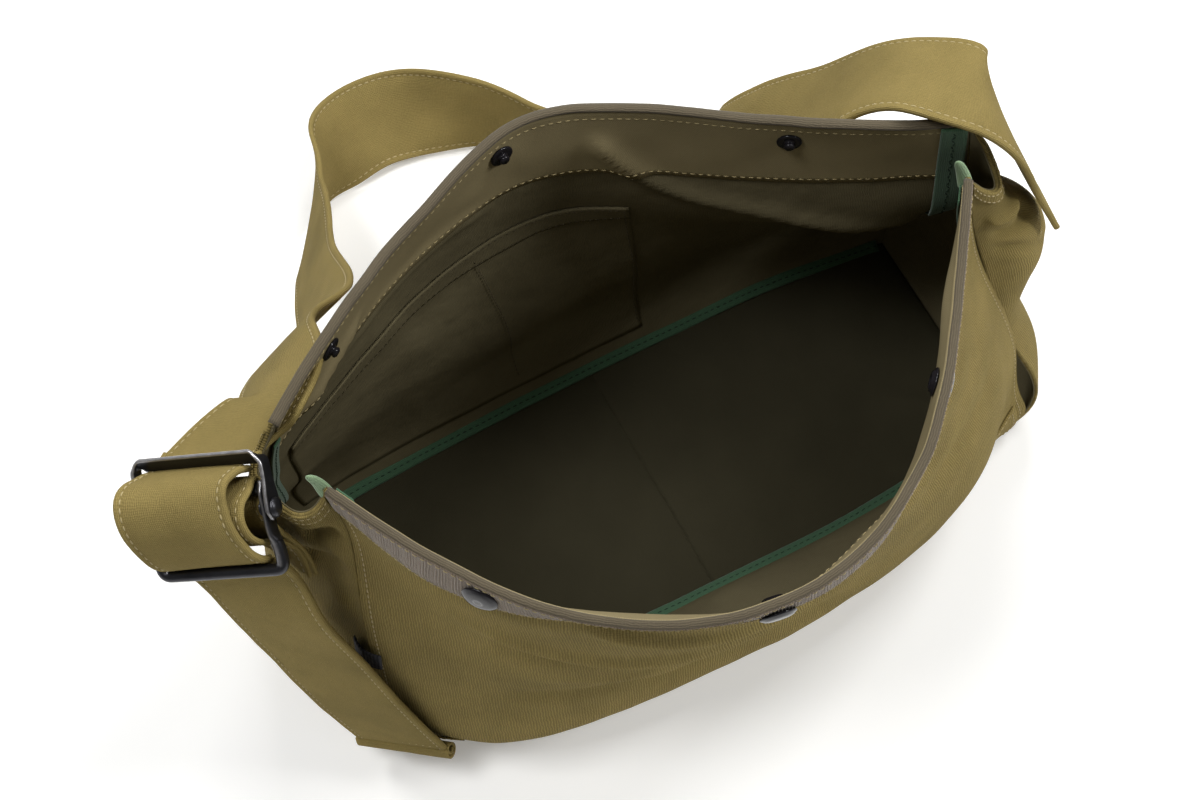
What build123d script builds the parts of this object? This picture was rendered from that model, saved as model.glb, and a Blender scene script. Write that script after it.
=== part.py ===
"""Messenger bag: an open canvas bag with a lined body, snap fasteners, and a buckled shoulder strap.

Millimetres, +Z up. The origin is the middle of the bag's bottom, on the surface that it stands on.
+X runs along the bag's length, to the right seen from the front, and +Y points to its back.
"""
from build123d import *
import math
import os

# ---------------------------------------------------------------- driving dimensions
LENGTH = 350.0          # bottom, along X
DEPTH = 126.0           # bottom, along Y
RIM_Z = 240.0           # height of the open mouth
FACING_Z = 195.0        # lower edge of the facing inside the mouth
HEM_Z = 208.0           # top hem of the two gussets, lower than the rims
TAPE_Z = 222.0          # lower edge of the grosgrain tape outside the mouth
CANVAS = 1.6            # outer cloth
LINING = 0.8            # inner cloth
FACING = 1.0            # facing and tapes
BINDING_R = 2.2         # round binding along a seam
STRAP_W = 48.0
STRAP_T = 3.0           # two layers of canvas
CAP_R = 7.6             # snap cap
CAP_H = 2.4
CAP_DROP = 14.0         # snap centres below the rim

# ---------------------------------------------------------------- the four walls
# Plan outlines of the outer cloth at four heights above the bottom. Each wall has the same number of points at
# every height, and the walls share their corner points.
LEVELS = (CANVAS, 75.0, 150.0, FACING_Z, HEM_Z, TAPE_Z, RIM_Z)
FRONT = {
    75.0: [(-171, -56), (-128, -93), (-75, -115), (-12, -119), (52, -116), (112, -99), (170, -48)],
    150.0: [(-166, -42), (-128, -85), (-79, -119), (-15, -130), (47, -120), (103, -87), (148, -32)],
    FACING_Z: [(-160, -30), (-129, -82), (-82, -123), (-19, -139), (43, -121), (94, -78), (136, -28)],
    RIM_Z: [(-164, -26), (-131, -85), (-84, -131), (-21, -149), (41, -128), (88, -81), (128, -26)],
}
RIGHT = {
    75.0: [(170, -48), (186, -32), (191, -2), (185, 32), (172, 50)],
    150.0: [(148, -32), (176, -34), (188, -12), (174, 8), (152, 4)],
    FACING_Z: [(136, -28), (152, -28), (159, -13), (156, -3), (147, -3)],
    RIM_Z: [(128, -26), (138, -27), (146, -17), (147, -8), (143, -1)],
}
REAR = {
    75.0: [(172, 50), (113, 62), (52, 74), (-10, 80), (-70, 78), (-126, 68), (-176, 48)],
    150.0: [(152, 4), (109, 18), (50, 53), (-13, 80), (-72, 78), (-127, 58), (-177, 30)],
    FACING_Z: [(147, -3), (105, 16), (46, 51), (-16, 78), (-75, 76), (-130, 50), (-178, 16)],
    RIM_Z: [(143, -1), (89, 25), (37, 58), (-19, 84), (-77, 67), (-130, 38), (-171, 9)],
}
LEFT = {
    75.0: [(-176, 48), (-188, 30), (-192, 0), (-184, -30), (-171, -56)],
    150.0: [(-177, 30), (-187, 18), (-180, -6), (-171, -28), (-166, -42)],
    FACING_Z: [(-178, 16), (-186, 8), (-181, -8), (-172, -22), (-160, -30)],
    RIM_Z: [(-171, 9), (-178, 2), (-181, -10), (-177, -24), (-164, -26)],
}
FOOT = [(-LENGTH / 2, -DEPTH / 2), (LENGTH / 2, -DEPTH / 2), (LENGTH / 2, DEPTH / 2), (-LENGTH / 2, DEPTH / 2)]

# ---------------------------------------------------------------- buckle frame of reference
# Its X runs along the bars, its Y from the lower bar to the upper bar, its Z away from the bag.
BUCKLE = Plane(origin=(-205.5, -1.5, 208.0), x_dir=(0.767, -0.503, 0.399), z_dir=(-0.603, -0.352, 0.717))
BAR_Y = 24.0            # the outer bars, each side of the middle
PIVOT = (2.0, 2.0)      # rivet axis, in the buckle's Y and Z
CROSS_BAR = (9.0, -1.0)  # bar that carries the anchor loop, in the buckle's Y and Z
CROSS_R = 2.5
ROD_R = 2.5
EAR_IN, EAR_OUT = 25.6, 28.6    # flattened ears of the lower frame
ARM_IN, ARM_OUT = 29.0, 31.0    # arms of the lever, outside the ears
RIVET_R = 2.0
PIVOT_GAP = 0.05        # running clearance of the lever on its rivets


def at(x, y, z):
    """A point given in the buckle's frame, in the bag's frame."""
    return BUCKLE.from_local_coords(Vector(x, y, z))


BAR_DIR = BUCKLE.x_dir

# ---------------------------------------------------------------- strap stations
# Centre of the strap and the direction across it, from its lower or left edge to the other edge.
TAIL = [
    ((-171, -70, 32), (35, -32, 10)),
    ((-182, -56, 79), (35, -29, 15)),
    ((-189, -42, 126), (34, -28, 19)),
    ((-199, -30, 161), (33, -28, 21)),
    (at(0, -26, -5.5), BAR_DIR),
]
SHOULDER = [
    (at(0, 26, -5.5), BAR_DIR),
    ((-172, 33, 220), (25, -18, 31)),
    ((-153, 55, 194), (26, -11, 39)),
    ((-125, 91, 142), (15, -14, 44)),
    ((-108, 133, 92), (18, -7, 44)),
    ((-92, 179, 52), (8, -16, 44)),
    ((-80, 212, 30), (2, -10, 47)),
    ((-66, 232, 24), (21, 38, 30)),
    ((-31, 242, 20), (21, 35, 26)),
    ((0, 228, 24), (6, 21, 42)),
    ((29, 206, 25), (-6, 8, 46)),
    ((42, 188, 28), (-6, 2, 47)),
    ((57, 156, 50), (-4, -8, 47)),
    ((70, 119, 90), (-4, -26, 40)),
    ((80, 89, 133), (-8, -36, 31)),
    ((93, 66, 177), (-12, -40, 24)),
    ((103, 54, 202), (-15, -41, 20)),
    ((119, 43, 226), (-18, -43, 14)),
    ((138, 24, 244), (-18, -43, 8)),
    ((156, 2, 245), (-20, -43, -4)),
    ((163, -4, 226), (-8, -47, 0)),
    ((171, -5, 196), (-6, -47, 2)),
    ((186, -12, 160), (-6, -47, 2)),
]
# Where the shoulder strap is divided, by station number.
SHOULDER_SPANS = {"strap_rise_left": (0, 4), "strap_back_run": (4, 12), "strap_rise_right": (12, 18),
                  "strap_anchor_right": (18, 22)}
ANCHOR_LEFT = [
    ((-186, -7, 164), (0.37, -0.91, 0.20)),
    ((-194, -4, 190), (0.60, -0.70, 0.32)),
    (at(0, CROSS_BAR[0] - 2.8, CROSS_BAR[1] - 3.0), BAR_DIR),
]
# Profile of the strap's loop over the buckle, in the buckle's Y and Z.
ARCH = [(-26, -5.5), (-22, -5.5), (-19.2, -2.6), (-18.4, 5.5), (-13.5, 12), (-6, 18), (3, 20.5), (9, 19),
        (14, 15.5), (17.4, 10.5), (18.8, 4), (18.8, -2.2), (21.8, -5.5), (26, -5.5)]


# ---------------------------------------------------------------- helpers
def inset(points, distance):
    """Points moved to their left by a distance, square to the curve through them."""
    moved = []
    for i, (x, y) in enumerate(points):
        x0, y0 = points[max(i - 1, 0)]
        x1, y1 = points[min(i + 1, len(points) - 1)]
        size = math.hypot(x1 - x0, y1 - y0)
        moved.append((x - (y1 - y0) / size * distance, y + (x1 - x0) / size * distance))
    return moved


def meet(a, b, c, d):
    """Where the line through a and b meets the line through c and d."""
    abx, aby, cdx, cdy = b[0] - a[0], b[1] - a[1], d[0] - c[0], d[1] - c[1]
    t = ((c[0] - a[0]) * cdy - (c[1] - a[1]) * cdx) / (abx * cdy - aby * cdx)
    return (a[0] + t * abx, a[1] + t * aby)


def spread(start, end, count):
    """Evenly spaced points on a straight line."""
    return [(start[0] + (end[0] - start[0]) * i / (count - 1), start[1] + (end[1] - start[1]) * i / (count - 1))
            for i in range(count)]


def outline(z, distance):
    """The four walls' plan points at one height, moved inwards, with mitred corners."""
    if z == CANVAS:
        walls = [spread(FOOT[0], FOOT[1], 7), spread(FOOT[1], FOOT[2], 5),
                 spread(FOOT[2], FOOT[3], 7), spread(FOOT[3], FOOT[0], 5)]
    elif z in (HEM_Z, TAPE_Z):
        share = (z - FACING_Z) / (RIM_Z - FACING_Z)
        low, high = outline(FACING_Z, distance), outline(RIM_Z, distance)
        return [[(a[0] + (b[0] - a[0]) * share, a[1] + (b[1] - a[1]) * share) for a, b in zip(p, q)]
                for p, q in zip(low, high)]
    else:
        walls = [FRONT[z], RIGHT[z], REAR[z], LEFT[z]]
    moved = [inset(points, distance) for points in walls]
    for i in range(4):
        a, b = moved[i - 1], moved[i]
        corner = meet(a[-2], a[-1], b[0], b[1])
        a[-1] = b[0] = corner
    return moved


def wire_edges(points, z):
    """One smooth edge through plan points at a height."""
    spots = [Vector(x, y, z) for x, y in points]
    straight = all(abs((spots[-1] - spots[0]).cross(p - spots[0]).length) < 1e-6 for p in spots)
    return Edge.make_line(spots[0], spots[-1]) if straight else Edge.make_spline(spots)


def section(outer, inner, z):
    """A thin closed band between two curves at one height."""
    a, b = wire_edges(outer, z), wire_edges(inner, z)
    ends = [Edge.make_line(a.position_at(1), b.position_at(1)), Edge.make_line(b.position_at(0), a.position_at(0))]
    return Face(Wire([a, ends[0], b, ends[1]]))


def wall(index, outside, inside, levels):
    """One wall's cloth between two depths, through the given heights."""
    sections = [section(outline(z, outside)[index], outline(z, inside)[index], z) for z in levels]
    return Solid.make_loft([face.outer_wire() for face in sections], ruled=True)


def frames(stations, start_dir=None, end_dir=None):
    """Centre, unit direction across and unit direction out of the face at each station of a strap."""
    centres = [Vector(s[0]) for s in stations]
    last = len(centres) - 1
    rows = []
    for i, (centre, station) in enumerate(zip(centres, stations)):
        along = (centres[min(i + 1, last)] - centres[max(i - 1, 0)]).normalized()
        if i == 0 and start_dir:
            along = start_dir
        if i == last and end_dir:
            along = end_dir
        across = Vector(station[1])
        across = (across - along * across.dot(along)).normalized()
        rows.append((centre, across, across.cross(along).normalized()))
    return rows


def band(rows, width=STRAP_W, thickness=STRAP_T):
    """A flat strap through rows of a centre, a direction across and a direction out of its face."""
    wires = []
    for centre, across, out in rows:
        a, o = across * (width / 2), out * (thickness / 2)
        wires.append(Wire.make_polygon([centre + a + o, centre + a - o, centre - a - o, centre - a + o], close=True))
    return Solid.make_loft(wires, ruled=True)


def on_buckle(shape):
    """A shape made in the buckle's frame, moved to its place."""
    return BUCKLE.location * shape


def rod(start, end, radius):
    """A round rod between two points."""
    start, end = Vector(start), Vector(end)
    return Solid.make_cylinder(radius, (end - start).length, Plane(origin=start, z_dir=end - start))


def wall_point(index, step, z, depth):
    """A point on a wall and the direction out of it, between the facing's edge and the rim."""
    share = (z - FACING_Z) / (RIM_Z - FACING_Z)
    low, high = outline(FACING_Z, 0)[index], outline(RIM_Z, 0)[index]
    low_edge, high_edge = wire_edges(low, FACING_Z), wire_edges(high, RIM_Z)
    a, b = low_edge.position_at(step), high_edge.position_at(step)
    along = high_edge.tangent_at(step).normalized()
    out = along.cross((b - a).normalized()).normalized()
    return a + (b - a) * share - out * depth, out


parts = {}

# ---------------------------------------------------------------- cloth shell and lining
WALL_NAMES = ("front", "right", "rear", "left")
SHELL_NAMES = ("front_panel", "right_gusset", "rear_panel", "left_gusset")
for i, (side, shell) in enumerate(zip(WALL_NAMES, SHELL_NAMES)):
    heights = [z for z in LEVELS if "gusset" not in shell or z <= HEM_Z]
    parts[shell] = wall(i, 0, CANVAS, heights)
    parts[side + "_lining"] = wall(i, CANVAS, CANVAS + LINING, heights)

INNER = CANVAS + LINING
parts["front_facing"] = wall(0, INNER, INNER + FACING, (FACING_Z, HEM_Z, TAPE_Z, RIM_Z))
parts["rear_facing"] = wall(2, INNER, INNER + FACING, (FACING_Z, HEM_Z, TAPE_Z, RIM_Z))
parts["front_rim_tape"] = wall(0, -FACING, 0, (TAPE_Z, RIM_Z))

parts["bottom_panel"] = Solid.make_box(LENGTH, DEPTH, CANVAS, Plane((-LENGTH / 2, -DEPTH / 2, 0)))
FLOOR_GAP = 0.3
half_length = LENGTH / 2 - INNER - FLOOR_GAP
floor_depth = DEPTH - 2 * (INNER + FLOOR_GAP)
for name, start in (("bottom_lining_left", -half_length), ("bottom_lining_right", 0)):
    parts[name] = Solid.make_box(half_length, floor_depth, LINING, Plane((start, -floor_depth / 2, CANVAS)))


# ---------------------------------------------------------------- bindings and tapes
def seam_binding(y, length):
    """A flattened binding along a bottom seam, standing in the corner inside the bag."""
    width, height, lift = 7.0, 1.6, CANVAS + LINING
    side = 1 if y > 0 else -1
    edge = side * (DEPTH / 2 - INNER - FLOOR_GAP - 0.2)
    low = min(edge, edge - side * width)
    return Solid.make_box(length, width, height, Plane((-length / 2, low, lift)))


BINDING_LENGTH = LENGTH - 2 * INNER - 14
parts["rear_bottom_binding"] = seam_binding(1, BINDING_LENGTH)
parts["front_bottom_binding"] = seam_binding(-1, BINDING_LENGTH)


def rim_binding(index, depth_out, depth_in, low, high):
    """The rounded binding on top of a rim: a band that caps the cloth's edges."""
    outer, inner = outline(RIM_Z, depth_out)[index], outline(RIM_Z, depth_in)[index]
    wires = [section(outer, inner, z).outer_wire() for z in (low, high)]
    return Solid.make_loft(wires, ruled=True)


parts["rear_rim_binding"] = rim_binding(2, 0.2, INNER + FACING - 0.2, RIM_Z, RIM_Z + 2.0)
parts["front_rim_piping"] = rim_binding(0, -FACING + 0.2, INNER + FACING - 0.2, RIM_Z, RIM_Z + 1.2)


def corner_binding(wall_index, at_end, low, high, width):
    """A flat tape down an inner corner, on the given wall's lining, at that wall's start or end."""
    wires = []
    for z in [z for z in LEVELS if low <= z <= high]:
        depth = INNER + FACING + 0.6
        edge = wire_edges(outline(z, depth)[wall_index], z)
        inner = wire_edges(outline(z, depth + FACING)[wall_index], z)
        gap = 1.5 / edge.length
        span = width / edge.length
        a, b = (1 - gap - span, 1 - gap) if at_end else (gap, gap + span)
        spots = [edge.position_at(a), edge.position_at(b), inner.position_at(b), inner.position_at(a)]
        wires.append(Wire.make_polygon(spots, close=True))
    return Solid.make_loft(wires, ruled=True)


parts["rear_right_corner_binding"] = corner_binding(2, False, 75.0, RIM_Z, 16.0)
parts["rear_left_corner_binding"] = corner_binding(2, True, 75.0, RIM_Z, 12.0)
parts["front_left_corner_binding"] = corner_binding(0, False, 75.0, RIM_Z, 8.0)
parts["front_right_corner_binding"] = corner_binding(0, True, 75.0, RIM_Z, 8.0)


def end_tab(corner, lean):
    """The folded end of a corner binding, standing above the rim like a small finger."""
    base = Vector(corner[0], corner[1], RIM_Z + 4.4)
    tip = base + Vector(lean)
    return rod(base, tip, 3.0) + Solid.make_sphere(3.0, Plane(tip))


rim_outline = outline(RIM_Z, INNER / 2)
parts["left_end_tab"] = end_tab(rim_outline[0][0], (-3, 5, 8))
parts["right_end_tab"] = end_tab(rim_outline[0][-1], (-3, 5, 8))


def stretch(points, z, start, end, count=9):
    """Evenly spaced points on part of a wall's curve."""
    edge = wire_edges(points, z)
    spots = [edge.position_at(start + (end - start) * i / (count - 1)) for i in range(count)]
    return [(p.X, p.Y) for p in spots]


# ---------------------------------------------------------------- inner slip pocket
POCKET_GAP = 0.8
POCKET_FROM, POCKET_TO = 0.405, 0.955


def pocket():
    """A flat pocket on the rear lining, open at its top."""
    wires = []
    for z in (75.0, 150.0):
        depths = (INNER + POCKET_GAP, INNER + POCKET_GAP + LINING)
        outer, inner = [stretch(outline(z, d)[2], z, POCKET_FROM, POCKET_TO) for d in depths]
        wires.append(section(outer, inner, z).outer_wire())
    return Solid.make_loft(wires, ruled=True)


parts["slip_pocket"] = pocket()

# ---------------------------------------------------------------- side loop of ribbed webbing
loop_side = [(-173.8, -41.9), (-178.6, -33.9), (-181.4, -27.4)]
parts["side_webbing_loop"] = Solid.make_loft(
    [section([(x - 0.9, y) for x, y in loop_side], [(x - 2.5, y - 0.4) for x, y in loop_side], z).outer_wire()
     for z in (98.0, 116.0)], ruled=True)


# ---------------------------------------------------------------- snap fasteners
def disc(spot, out, radius, height, lift=0.0):
    """A round disc standing on a surface point."""
    return Solid.make_cylinder(radius, height, Plane(origin=spot + out * lift, z_dir=out))


def domed_cap(spot, out):
    """The cap of a snap, with a chamfered edge."""
    cap = disc(spot, out, CAP_R, CAP_H, 0.45)
    top = cap.edges().filter_by(GeomType.CIRCLE).sort_by(lambda e: (e.center() - spot).length)[-1]
    return cap.chamfer(1.2, None, [top])


FRONT_SNAPS = (0.168, 0.468, 0.775)
REAR_SNAPS = (0.21, 0.56, 0.875)
SNAP_Z = RIM_Z - CAP_DROP
caps, sockets, studs, eyelets = [], [], [], []
for step in FRONT_SNAPS:
    spot, out = wall_point(0, step, SNAP_Z, -FACING)
    caps.append(domed_cap(spot, out))
    inner_spot, out = wall_point(0, step, SNAP_Z, INNER + FACING)
    socket = disc(inner_spot, -out, 6.0, 2.2, 0.5)
    sockets.append(socket - disc(inner_spot, -out, 2.6, 1.6, 1.5))
for step in REAR_SNAPS:
    spot, out = wall_point(2, step, SNAP_Z, INNER + FACING)
    post = disc(spot, -out, 5.2, 0.9, 1.0) + disc(spot, -out, 2.4, 3.2, 1.0)
    studs.append(post)
    back, out = wall_point(2, step, SNAP_Z, 0)
    eyelets.append(disc(back, out, 4.6, 1.0, 0.8) - disc(back, out, 1.8, 0.5, 1.4))
parts["snap_caps"] = Compound(children=caps)
parts["snap_sockets"] = Compound(children=sockets)
parts["snap_studs"] = Compound(children=studs)
parts["snap_eyelets"] = Compound(children=eyelets)


# ---------------------------------------------------------------- corner patches
def corner_patch(at_end):
    """A thin canvas patch over a bottom corner, on the outside of the front wall."""
    margin, size, gap, thick, top = 8.0, 26.0, 0.4, 1.0, 34.0
    span = ((LENGTH - margin - size) / LENGTH, (LENGTH - margin) / LENGTH) if at_end else (
        margin / LENGTH, (margin + size) / LENGTH)
    share = (top - CANVAS) / (75.0 - CANVAS)
    curves = []
    for depth in (-gap, -gap - thick):
        low, high = [stretch(outline(z, depth)[0], z, *span) for z in (CANVAS, 75.0)]
        middle = [(a[0] + (b[0] - a[0]) * share, a[1] + (b[1] - a[1]) * share) for a, b in zip(low, high)]
        curves.append((low, middle))
    wires = [section(curves[0][k], curves[1][k], z).outer_wire() for k, z in enumerate((CANVAS, top))]
    return Solid.make_loft(wires, ruled=True)


parts["corner_patch_left"] = corner_patch(False)
parts["corner_patch_right"] = corner_patch(True)

# ---------------------------------------------------------------- shoulder strap
tail_rows = frames(TAIL, end_dir=BUCKLE.y_dir)
parts["strap_tail"] = band(tail_rows)
shoulder_rows = frames(SHOULDER, start_dir=BUCKLE.y_dir)
for name, (first, last) in SHOULDER_SPANS.items():
    parts[name] = band(shoulder_rows[first:last + 1])


def arch():
    """The strap's loop over the buckle, drawn from the side and drawn out to the strap's width."""
    outer = inset(ARCH, STRAP_T / 2)
    inner = inset(ARCH, -STRAP_T / 2)
    a = Edge.make_spline([Vector(-STRAP_W / 2, y, z) for y, z in outer])
    b = Edge.make_spline([Vector(-STRAP_W / 2, y, z) for y, z in inner])
    ends = [Edge.make_line(a @ 1, b @ 1), Edge.make_line(b @ 0, a @ 0)]
    profile = Face(Wire([a, ends[0], b, ends[1]]))
    return Solid.extrude(profile, Vector(STRAP_W, 0, 0))


parts["strap_arch"] = on_buckle(arch())

# The rolled hem at the strap's free end, just under the end of the tail.
HEM_R = 3.4
tail_end, hem_dir, tail_out = tail_rows[0]
hem_centre = tail_end + hem_dir.cross(tail_out) * (HEM_R + 0.3)
parts["strap_end_hem"] = rod(hem_centre - hem_dir * STRAP_W / 2, hem_centre + hem_dir * STRAP_W / 2, HEM_R)

# The anchor strap is sewn to the left gusset and loops round the buckle's cross bar.
LOOP_IN, LOOP_OUT = CROSS_R + 0.4, CROSS_R + 0.4 + 2.4
loop_plane = Plane(origin=(-STRAP_W / 2, *CROSS_BAR), z_dir=(1, 0, 0))
loop = Solid.make_cylinder(LOOP_OUT, STRAP_W, loop_plane) - Solid.make_cylinder(LOOP_IN, STRAP_W, loop_plane)
anchor_dir = BUCKLE.y_dir + BUCKLE.z_dir
parts["anchor_strap"] = band(frames(ANCHOR_LEFT, end_dir=anchor_dir), STRAP_W, 2.4) + on_buckle(loop)


# ---------------------------------------------------------------- buckle
def lower_frame():
    """Round bar bent to a U, with flattened ears, and the cross bar between the ears."""
    side = ARM_OUT - ROD_R
    shape = rod((-side, -BAR_Y, 0), (side, -BAR_Y, 0), ROD_R)
    for sign in (-1, 1):
        x = sign * side
        shape += Solid.make_sphere(ROD_R, Plane((x, -BAR_Y, 0)))
        shape += rod((x, -BAR_Y, 0), (x, -15, 0.4), ROD_R)
        shape += Solid.make_sphere(ROD_R, Plane((x, -15, 0.4)))
        knee = sign * (EAR_IN + EAR_OUT) / 2
        shape += rod((x, -15, 0.4), (knee, -8, 1.2), ROD_R)
        low_x = EAR_IN if sign > 0 else -EAR_OUT
        shape += Solid.make_box(EAR_OUT - EAR_IN, 21.5, 6.4, Plane((low_x, -9.5, -2.2)))
    shape += rod((-EAR_IN - 0.5, *CROSS_BAR), (EAR_IN + 0.5, *CROSS_BAR), CROSS_R)
    bore = rod((-EAR_OUT - 1, *PIVOT), (EAR_OUT + 1, *PIVOT), RIVET_R)
    return shape - bore


def lever():
    """Flat bar bent to a U that swings on two rivets."""
    arm_low, bar_high, half_deep = -3.2, BAR_Y + 1.6, 3.4
    thick = ARM_OUT - ARM_IN
    shape = Solid.make_box(2 * ARM_OUT, 3.2, 2 * half_deep, Plane((-ARM_OUT, bar_high - 3.2, -half_deep + 1.0)))
    for low_x in (ARM_IN, -ARM_OUT):
        shape += Solid.make_box(thick, bar_high - PIVOT[0], 2 * half_deep,
                                Plane((low_x, PIVOT[0], -half_deep + 1.0)))
        shape += Solid.make_cylinder(PIVOT[0] - arm_low, thick, Plane((low_x, *PIVOT), z_dir=(1, 0, 0)))
    bore = rod((-ARM_OUT - 1, *PIVOT), (ARM_OUT + 1, *PIVOT), RIVET_R + PIVOT_GAP)
    return shape - bore


def rivet(sign):
    """A shouldered rivet through an ear and a lever arm."""
    inner, head, tail_h, head_h, gap = EAR_IN, ARM_OUT, 0.9, 1.6, 0.15
    shape = rod((sign * (inner - tail_h), *PIVOT), (sign * (head + head_h), *PIVOT), RIVET_R)
    shape += rod((sign * (inner - tail_h), *PIVOT), (sign * inner, *PIVOT), 3.2)
    shape += rod((sign * (head + gap), *PIVOT), (sign * (head + head_h), *PIVOT), 3.6)
    return shape


parts["buckle_frame"] = on_buckle(lower_frame())
parts["buckle_lever"] = on_buckle(lever())
parts["buckle_rivets"] = Compound(children=[on_buckle(rivet(1)), on_buckle(rivet(-1))])

# ---------------------------------------------------------------- write the parts
os.makedirs("parts", exist_ok=True)
for name, shape in parts.items():
    export_step(shape, f"parts/{name}.step")
print(len(parts), "parts")
pivot_at = at(0, *PIVOT)
print("buckle pivot", [round(c, 3) for c in tuple(pivot_at)], [round(c, 4) for c in tuple(BAR_DIR)])
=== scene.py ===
"""Looks of an open canvas messenger bag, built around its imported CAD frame."""

import math

import bpy
import numpy as np
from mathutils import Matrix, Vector, noise


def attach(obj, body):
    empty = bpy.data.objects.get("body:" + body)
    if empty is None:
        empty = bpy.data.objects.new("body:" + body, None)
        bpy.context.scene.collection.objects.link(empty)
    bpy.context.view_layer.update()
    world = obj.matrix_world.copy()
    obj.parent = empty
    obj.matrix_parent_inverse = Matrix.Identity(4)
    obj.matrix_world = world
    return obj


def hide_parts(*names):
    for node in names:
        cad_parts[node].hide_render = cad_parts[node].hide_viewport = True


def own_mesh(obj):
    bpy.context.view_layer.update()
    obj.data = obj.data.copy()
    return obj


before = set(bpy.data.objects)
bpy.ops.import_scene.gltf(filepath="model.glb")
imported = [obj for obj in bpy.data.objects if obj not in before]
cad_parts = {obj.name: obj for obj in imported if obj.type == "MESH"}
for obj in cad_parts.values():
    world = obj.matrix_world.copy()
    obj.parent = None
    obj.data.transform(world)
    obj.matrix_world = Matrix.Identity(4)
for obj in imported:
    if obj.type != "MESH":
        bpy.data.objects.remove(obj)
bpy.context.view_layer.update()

MM = 0.001

# ---- driving dimensions, millimetres
RIM_Z = 240.0
FACING_Z = 195.0
TAPE_W = 17.0
CANVAS = 1.6
LINING = 0.7
FACING = 0.9
STRAP_W = 48.0
STRAP_T = 3.0
HEM_W = 10.0
HALF_LENGTH = 172.0

# Plan outlines of the outer cloth at rising heights, each wall from its start corner to its end corner.
FRONT = {
    0.0: [(-171, -60), (-114, -64), (-57, -66), (0, -67), (57, -68), (114, -65), (172, -60)],
    8.0: [(-174, -63), (-117, -67), (-59, -70), (-2, -71), (57, -72), (115, -69), (178, -61)],
    32.0: [(-174, -61), (-137, -86), (-84, -98), (-33, -102), (35, -101), (106, -89), (176, -57)],
    75.0: [(-171, -56), (-130, -95), (-76, -110), (-15, -114), (50, -114), (112, -100), (170, -48)],
    150.0: [(-166, -42), (-128, -85), (-79, -119), (-15, -130), (47, -120), (103, -87), (148, -32)],
    195.0: [(-160, -30), (-129, -82), (-82, -123), (-19, -139), (43, -121), (94, -78), (136, -28)],
    240.0: [(-164, -26), (-131, -85), (-84, -131), (-21, -149), (41, -128), (88, -81), (128, -26)],
}
RIGHT = {
    0.0: [(172, -60), (172, -30), (172, 0), (172, 30), (172, 61)],
    8.0: [(178, -61), (183, -34), (181, 0), (178, 31), (175, 64)],
    75.0: [(170, -48), (183, -33), (189, -2), (185, 32), (172, 50)],
    150.0: [(148, -32), (176, -34), (188, -12), (174, 8), (152, 4)],
    195.0: [(136, -28), (152, -28), (159, -13), (156, -3), (147, -3)],
    240.0: [(128, -26), (138, -27), (146, -17), (147, -8), (143, -2)],
}
REAR = {
    0.0: [(172, 61), (114, 66), (57, 68), (0, 68), (-57, 67), (-114, 65), (-171, 61)],
    8.0: [(175, 64), (115, 71), (57, 73), (-1, 73), (-59, 72), (-117, 70), (-175, 64)],
    75.0: [(172, 50), (113, 62), (52, 74), (-10, 80), (-70, 78), (-126, 68), (-176, 48)],
    120.0: [(166, 32), (110, 44), (50, 66), (-12, 84), (-72, 80), (-127, 62), (-178, 38)],
    158.0: [(151, 2), (110, 13), (51, 50), (-14, 84), (-74, 78), (-128, 54), (-178, 26)],
    195.0: [(147, -3), (105, 16), (46, 51), (-16, 82), (-76, 75), (-130, 47), (-177, 17)],
    240.0: [(143, -2), (89, 25), (37, 60), (-19, 85), (-77, 67), (-130, 38), (-171, 9)],
}
LEFT = {
    0.0: [(-171, 61), (-171, 30), (-171, 0), (-171, -30), (-171, -60)],
    8.0: [(-175, 64), (-177, 31), (-178, 0), (-177, -31), (-174, -63)],
    75.0: [(-176, 48), (-188, 30), (-192, 0), (-184, -30), (-171, -56)],
    150.0: [(-178, 28), (-187, 18), (-180, -6), (-171, -28), (-166, -42)],
    195.0: [(-177, 17), (-186, 8), (-181, -8), (-172, -22), (-160, -30)],
    240.0: [(-171, 9), (-178, 2), (-181, -10), (-177, -24), (-164, -26)],
}


# ---- curves and grids
def cubic(knots, values, places):
    """A natural cubic spline through values at rising knots, read at places."""
    knots, values, places = (np.asarray(a, float) for a in (knots, values, places))
    count, step = len(knots), np.diff(knots)
    if count < 3:
        share = ((places - knots[0]) / step[0])[:, None]
        return values[0] * (1 - share) + values[1] * share
    matrix, right = np.eye(count), np.zeros((count, values.shape[1]))
    for i in range(1, count - 1):
        matrix[i, i - 1:i + 2] = step[i - 1], 2 * (step[i - 1] + step[i]), step[i]
        right[i] = 6 * ((values[i + 1] - values[i]) / step[i] - (values[i] - values[i - 1]) / step[i - 1])
    bend = np.linalg.solve(matrix, right)
    j = np.clip(np.searchsorted(knots, places) - 1, 0, count - 2)
    h = step[j][:, None]
    a = (knots[j + 1] - places)[:, None] / h
    b = 1 - a
    return (a * values[j] + b * values[j + 1]
            + ((a ** 3 - a) * bend[j] + (b ** 3 - b) * bend[j + 1]) * h ** 2 / 6)


def even(points, count):
    """Points spaced evenly by length on a smooth curve through some points."""
    points = np.asarray(points, float)
    knots = run_of(points)
    fine = cubic(knots, points, np.linspace(0, knots[-1], 12 * count))
    length = run_of(fine)
    goal = np.linspace(0, length[-1], count)
    return np.stack([np.interp(goal, length, fine[:, k]) for k in range(fine.shape[1])], 1)


def smooth(x):
    x = np.clip(x, 0, 1)
    return x * x * (3 - 2 * x)


def unit(v):
    v = np.asarray(v, float)
    return v / np.maximum(np.linalg.norm(v, axis=-1, keepdims=True), 1e-12)


def run_of(points):
    """Lengths along a line of points, from its first point."""
    return np.concatenate([[0], np.cumsum(np.linalg.norm(np.diff(points, axis=0), axis=1))])


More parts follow.
